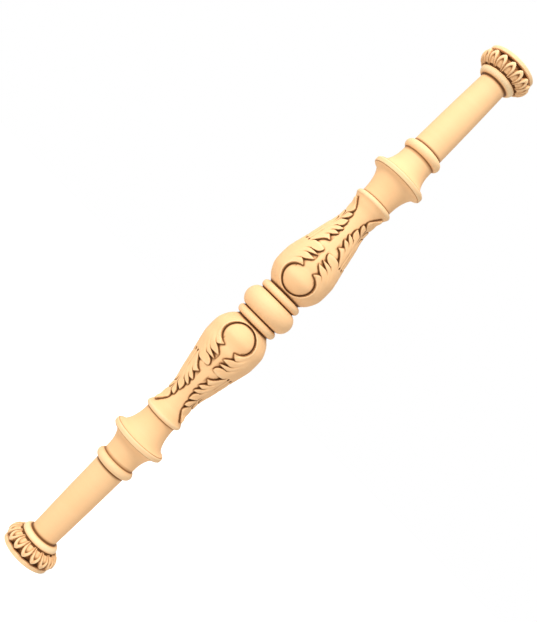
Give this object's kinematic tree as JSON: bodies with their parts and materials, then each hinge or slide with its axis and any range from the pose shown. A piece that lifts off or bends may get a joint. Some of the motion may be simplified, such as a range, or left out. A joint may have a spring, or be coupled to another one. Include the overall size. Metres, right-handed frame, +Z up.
{
  "type": "stone baluster",
  "caption": "Slender turned stone baluster with mirrored halves: carved leaf vases round a middle ring, flared bells, plain shafts and tongue-carved end caps.",
  "frame": {"origin": "centre of the underside of the lower end disc", "axes": "+Z up along the turning axis; one carved front faces -Y"},
  "size_m": [0.0822, 0.0813, 0.9],
  "materials": {
    "stone": "honed, fine-grained honey-cream stone"
  },
  "bodies": {
    "root": {"baluster": "stone"}
  },
  "joints": []
}
